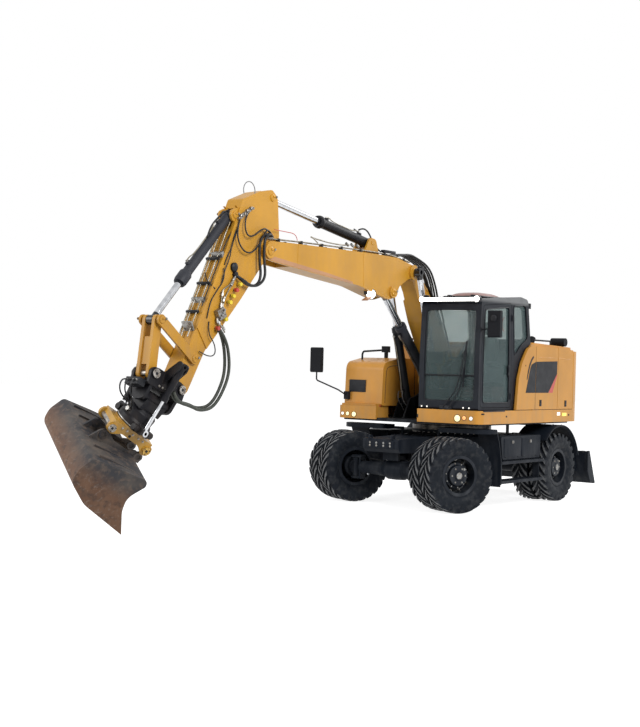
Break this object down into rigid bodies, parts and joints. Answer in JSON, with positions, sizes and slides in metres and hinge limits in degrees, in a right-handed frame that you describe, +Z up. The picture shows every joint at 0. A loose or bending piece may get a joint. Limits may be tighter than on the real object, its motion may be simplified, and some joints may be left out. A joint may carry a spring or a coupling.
{
  "type": "wheeled excavator",
  "caption": "Wheeled excavator with a two-piece boom, twin tyres, glazed cab, rear dozer blade and a wide ditching bucket on a tilting, turning coupler.",
  "frame": {"origin": "on the ground under the centre of the slewing ring", "axes": "+X forward, +Y to the machine's left, +Z up"},
  "size_m": [10.0135, 3.04, 4.1947],
  "materials": {
    "chassis_black": "semi-gloss black paint",
    "slew_steel": "greased steel",
    "tyre": "matt rubber",
    "rod_chrome": "polished hard chrome",
    "machine_yellow": "gloss yellow paint",
    "grey_paint": "satin dark grey paint",
    "engine_grey": "plain",
    "glass": "green tinted",
    "cab_trim": "dark plastic and cloth",
    "bucket_steel": "worn and rusty steel"
  },
  "bodies": {
    "undercarriage": {"chassis_frame": "chassis_black", "slew_ring": "slew_steel", "front_axle": "chassis_black", "rear_axle": "chassis_black", "drive_shaft": "chassis_black", "mudguards": "chassis_black", "toolboxes": "chassis_black"},
    "knuckle_left": {"knuckle_left": "chassis_black"},
    "knuckle_right": {"knuckle_right": "chassis_black"},
    "steering_rod": {"steering_rod": "slew_steel"},
    "wheels_front_left": {"tyres_front_left": "tyre", "rims_front_left": "chassis_black"},
    "wheels_front_right": {"tyres_front_right": "tyre", "rims_front_right": "chassis_black"},
    "wheels_rear_left": {"tyres_rear_left": "tyre", "rims_rear_left": "chassis_black"},
    "wheels_rear_right": {"tyres_rear_right": "tyre", "rims_rear_right": "chassis_black"},
    "blade": {"blade": "chassis_black"},
    "blade_barrels": {"blade_barrels": "chassis_black"},
    "blade_rods": {"blade_rods": "rod_chrome"},
    "upper": {"upper_frame": "grey_paint", "skirt_panels": "machine_yellow", "counterweight": "grey_paint", "body_panels": "machine_yellow", "engine_block": "engine_grey", "tank_box": "machine_yellow", "cab_frame": "grey_paint", "cab_glass": "glass", "operator_station": "cab_trim", "mirrors": "chassis_black", "work_lamps": "chassis_black"},
    "cab_door": {"cab_door": "grey_paint", "door_glass": "glass"},
    "service_door_front": {"service_door_front": "machine_yellow"},
    "service_door_rear": {"service_door_rear": "machine_yellow"},
    "hood": {"engine_hood": "machine_yellow", "hood_fittings": "chassis_black"},
    "base_boom": {"base_boom": "machine_yellow"},
    "lift_barrels": {"lift_barrels": "chassis_black"},
    "lift_rods": {"lift_rods": "rod_chrome"},
    "upper_boom": {"upper_boom": "machine_yellow"},
    "adjust_barrel": {"adjust_barrel": "grey_paint"},
    "adjust_rod": {"adjust_rod": "rod_chrome"},
    "stick": {"stick": "machine_yellow"},
    "stick_barrel": {"stick_barrel": "grey_paint"},
    "stick_rod": {"stick_rod": "rod_chrome"},
    "guide_levers": {"guide_levers": "machine_yellow"},
    "bucket_link": {"bucket_link": "machine_yellow"},
    "bucket_barrel": {"bucket_barrel": "grey_paint"},
    "bucket_rod": {"bucket_rod": "rod_chrome"},
    "coupler_head": {"coupler_head": "chassis_black"},
    "rotator": {"rotator_housing": "chassis_black"},
    "tilt_barrel_left": {"tilt_barrel_left": "chassis_black"},
    "tilt_barrel_right": {"tilt_barrel_right": "chassis_black"},
    "tilt_rod_left": {"tilt_rod_left": "rod_chrome"},
    "tilt_rod_right": {"tilt_rod_right": "rod_chrome"},
    "tool": {"rotor_coupler": "machine_yellow", "bucket": "bucket_steel"}
  },
  "joints": [
    {"name": "steer_left", "type": "hinge", "parent": "undercarriage", "child": "knuckle_left", "pos_m": [1.5, 0.712, 0.525], "axis": [0, 0, 1], "range_deg": [-3, 57]},
    {"name": "steer_right", "type": "hinge", "parent": "undercarriage", "child": "knuckle_right", "pos_m": [1.5, -0.712, 0.525], "axis": [0, 0, 1], "range_deg": [-3.5, 57.5]},
    {"name": "steering_rod_slide", "type": "slide", "parent": "undercarriage", "child": "steering_rod", "axis": [0, 1, 0], "range_m": [-0.17778, 0.0103]},
    {"name": "wheel_front_left", "type": "hinge", "parent": "knuckle_left", "child": "wheels_front_left", "pos_m": [1.62621, 0.9597, 0.525], "axis": [0.454, 0.891, 0], "continuous": true},
    {"name": "wheel_front_right", "type": "hinge", "parent": "knuckle_right", "child": "wheels_front_right", "pos_m": [1.37379, -0.9597, 0.525], "axis": [0.454, 0.891, 0], "continuous": true},
    {"name": "wheel_rear_left", "type": "hinge", "parent": "undercarriage", "child": "wheels_rear_left", "pos_m": [-1.14, 0.99, 0.525], "axis": [0, 1, 0], "continuous": true},
    {"name": "wheel_rear_right", "type": "hinge", "parent": "undercarriage", "child": "wheels_rear_right", "pos_m": [-1.14, -0.99, 0.525], "axis": [0, 1, 0], "continuous": true},
    {"name": "blade_lift", "type": "hinge", "parent": "undercarriage", "child": "blade", "pos_m": [-1.75, 0, 0.5], "axis": [0, 1, 0], "range_deg": [-17, 20]},
    {"name": "blade_cylinder_pivot", "type": "hinge", "parent": "undercarriage", "child": "blade_barrels", "pos_m": [-1.64, 0, 0.95], "axis": [0, 1, 0], "range_deg": [-7.26, 8.45]},
    {"name": "blade_cylinder_stroke", "type": "slide", "parent": "blade_barrels", "child": "blade_rods", "axis": [-0.7761, 0, -0.6306], "range_m": [-0.1034, 0.08849]},
    {"name": "swing", "type": "hinge", "parent": "undercarriage", "child": "upper", "pos_m": [0, 0, 1.085], "axis": [0, 0, 1], "continuous": true},
    {"name": "cab_door_hinge", "type": "hinge", "parent": "upper", "child": "cab_door", "pos_m": [0.346, 1.186, 2.2], "axis": [0, 0, 1], "range_deg": [0, 95]},
    {"name": "service_door_front_hinge", "type": "hinge", "parent": "upper", "child": "service_door_front", "pos_m": [-1.076, 1.232, 1.9], "axis": [0, 0, 1], "range_deg": [0, 80]},
    {"name": "service_door_rear_hinge", "type": "hinge", "parent": "upper", "child": "service_door_rear", "pos_m": [-1.084, 1.232, 1.9], "axis": [0, 0, -1], "range_deg": [0, 80]},
    {"name": "hood_hinge", "type": "hinge", "parent": "upper", "child": "hood", "pos_m": [-1.712, 0, 2.35], "axis": [0, -1, 0], "range_deg": [0, 50]},
    {"name": "boom_lift", "type": "hinge", "parent": "upper", "child": "base_boom", "pos_m": [0.12, -0.17, 1.76], "axis": [0, -1, 0], "range_deg": [-45, 12]},
    {"name": "lift_cylinders_pivot", "type": "hinge", "parent": "upper", "child": "lift_barrels", "pos_m": [0.61, -0.17, 1.48], "axis": [0, 1, 0], "range_deg": [-12.82, 46.68]},
    {"name": "lift_cylinders_stroke", "type": "slide", "parent": "lift_barrels", "child": "lift_rods", "axis": [0.2997, 0, 0.954], "range_m": [-0.43672, 0.11939]},
    {"name": "boom_fold", "type": "hinge", "parent": "base_boom", "child": "upper_boom", "pos_m": [1.21, -0.17, 3.39], "axis": [0, -1, 0], "range_deg": [-35, 30]},
    {"name": "adjust_cylinder_pivot", "type": "hinge", "parent": "base_boom", "child": "adjust_barrel", "pos_m": [0.45, -0.17, 1.8], "axis": [0, 1, 0], "range_deg": [-2.9, 3.3]},
    {"name": "adjust_cylinder_stroke", "type": "slide", "parent": "adjust_barrel", "child": "adjust_rod", "axis": [0.7153, 0, 0.6988], "range_m": [-0.36977, 0.31752]},
    {"name": "stick_swing", "type": "hinge", "parent": "upper_boom", "child": "stick", "pos_m": [4.585, -0.17, 3.42], "axis": [0, 1, 0], "range_deg": [-40, 50]},
    {"name": "stick_cylinder_pivot", "type": "hinge", "parent": "upper_boom", "child": "stick_barrel", "pos_m": [2.2, -0.17, 3.74], "axis": [0, 1, 0], "range_deg": [-2.5, 3]},
    {"name": "stick_cylinder_stroke", "type": "slide", "parent": "stick_barrel", "child": "stick_rod", "axis": [0.9878, 0, 0.1555], "range_m": [-0.45277, 0.56497]},
    {"name": "bucket_curl", "type": "hinge", "parent": "stick", "child": "coupler_head", "pos_m": [6.14, -0.17, 1.66], "axis": [0, 1, 0], "range_deg": [-55, 60]},
    {"name": "guide_lever_pivot", "type": "hinge", "parent": "stick", "child": "guide_levers", "pos_m": [5.92, -0.17, 2.03], "axis": [0, 1, 0], "range_deg": [-39.43, 42.96]},
    {"name": "bucket_link_pivot", "type": "hinge", "parent": "guide_levers", "child": "bucket_link", "pos_m": [6.5, -0.17, 2.465], "axis": [0, 1, 0], "range_deg": [-30.07, 27.61]},
    {"name": "bucket_cylinder_pivot", "type": "hinge", "parent": "stick", "child": "bucket_barrel", "pos_m": [5.2, -0.17, 3.81], "axis": [0, 1, 0], "range_deg": [-3.25, 3.5]},
    {"name": "bucket_cylinder_stroke", "type": "slide", "parent": "bucket_barrel", "child": "bucket_rod", "axis": [0.695, 0, -0.719], "range_m": [-0.46909, 0.51138]},
    {"name": "tool_tilt", "type": "hinge", "parent": "coupler_head", "child": "rotator", "pos_m": [6.45316, -0.17, 1.53926], "axis": [0.9181, 0, 0.3964], "range_deg": [0, 70]},
    {"name": "tilt_cylinder_left_pivot", "type": "hinge", "parent": "coupler_head", "child": "tilt_barrel_left", "pos_m": [6.30502, 0.15, 1.93277], "axis": [0.9181, 0, 0.3964], "range_deg": [-0.5, 29.12]},
    {"name": "tilt_cylinder_left_stroke", "type": "slide", "parent": "tilt_barrel_left", "child": "tilt_rod_left", "axis": [0.3765, -0.313, -0.8719], "range_m": [-0.32429, 0.003]},
    {"name": "tilt_cylinder_right_pivot", "type": "hinge", "parent": "coupler_head", "child": "tilt_barrel_right", "pos_m": [6.30502, -0.49, 1.93277], "axis": [0.9181, 0, 0.3964], "range_deg": [-0.5, 27.26]},
    {"name": "tilt_cylinder_right_stroke", "type": "slide", "parent": "tilt_barrel_right", "child": "tilt_rod_right", "axis": [0.3911, -0.163, -0.9058], "range_m": [-0.003, 0.38818]},
    {"name": "tool_rotate", "type": "hinge", "parent": "rotator", "child": "tool", "pos_m": [6.45316, -0.17, 1.53926], "axis": [-0.3247, 0.5736, 0.752], "continuous": true}
  ],
  "couplings": [
    {"joint": "steer_right", "follows": "steer_left", "ratio": 1},
    {"joint": "steering_rod_slide", "follows": "steer_left", "m_per_rad": -0.1777},
    {"joint": "blade_cylinder_pivot", "follows": "blade_lift", "ratio": 0.39768},
    {"joint": "blade_cylinder_stroke", "follows": "blade_lift", "m_per_rad": -0.28476},
    {"joint": "lift_cylinders_pivot", "follows": "boom_lift", "ratio": -1.0263},
    {"joint": "lift_cylinders_stroke", "follows": "boom_lift", "m_per_rad": 0.55095},
    {"joint": "adjust_cylinder_pivot", "follows": "boom_fold", "ratio": -0.08},
    {"joint": "adjust_cylinder_stroke", "follows": "boom_fold", "m_per_rad": 0.59878},
    {"joint": "stick_cylinder_pivot", "follows": "stick_swing", "ratio": 0.05},
    {"joint": "stick_cylinder_stroke", "follows": "stick_swing", "m_per_rad": 0.64282},
    {"joint": "guide_lever_pivot", "follows": "bucket_curl", "ratio": 0.70773},
    {"joint": "bucket_link_pivot", "follows": "bucket_curl", "ratio": -0.49284},
    {"joint": "bucket_cylinder_pivot", "follows": "bucket_curl", "ratio": 0.05},
    {"joint": "bucket_cylinder_stroke", "follows": "bucket_curl", "m_per_rad": 0.48451},
    {"joint": "tilt_cylinder_left_pivot", "follows": "tool_tilt", "ratio": 0.4088},
    {"joint": "tilt_cylinder_left_stroke", "follows": "tool_tilt", "m_per_rad": -0.26298},
    {"joint": "tilt_cylinder_right_pivot", "follows": "tool_tilt", "ratio": 0.38226},
    {"joint": "tilt_cylinder_right_stroke", "follows": "tool_tilt", "m_per_rad": 0.31528}
  ]
}
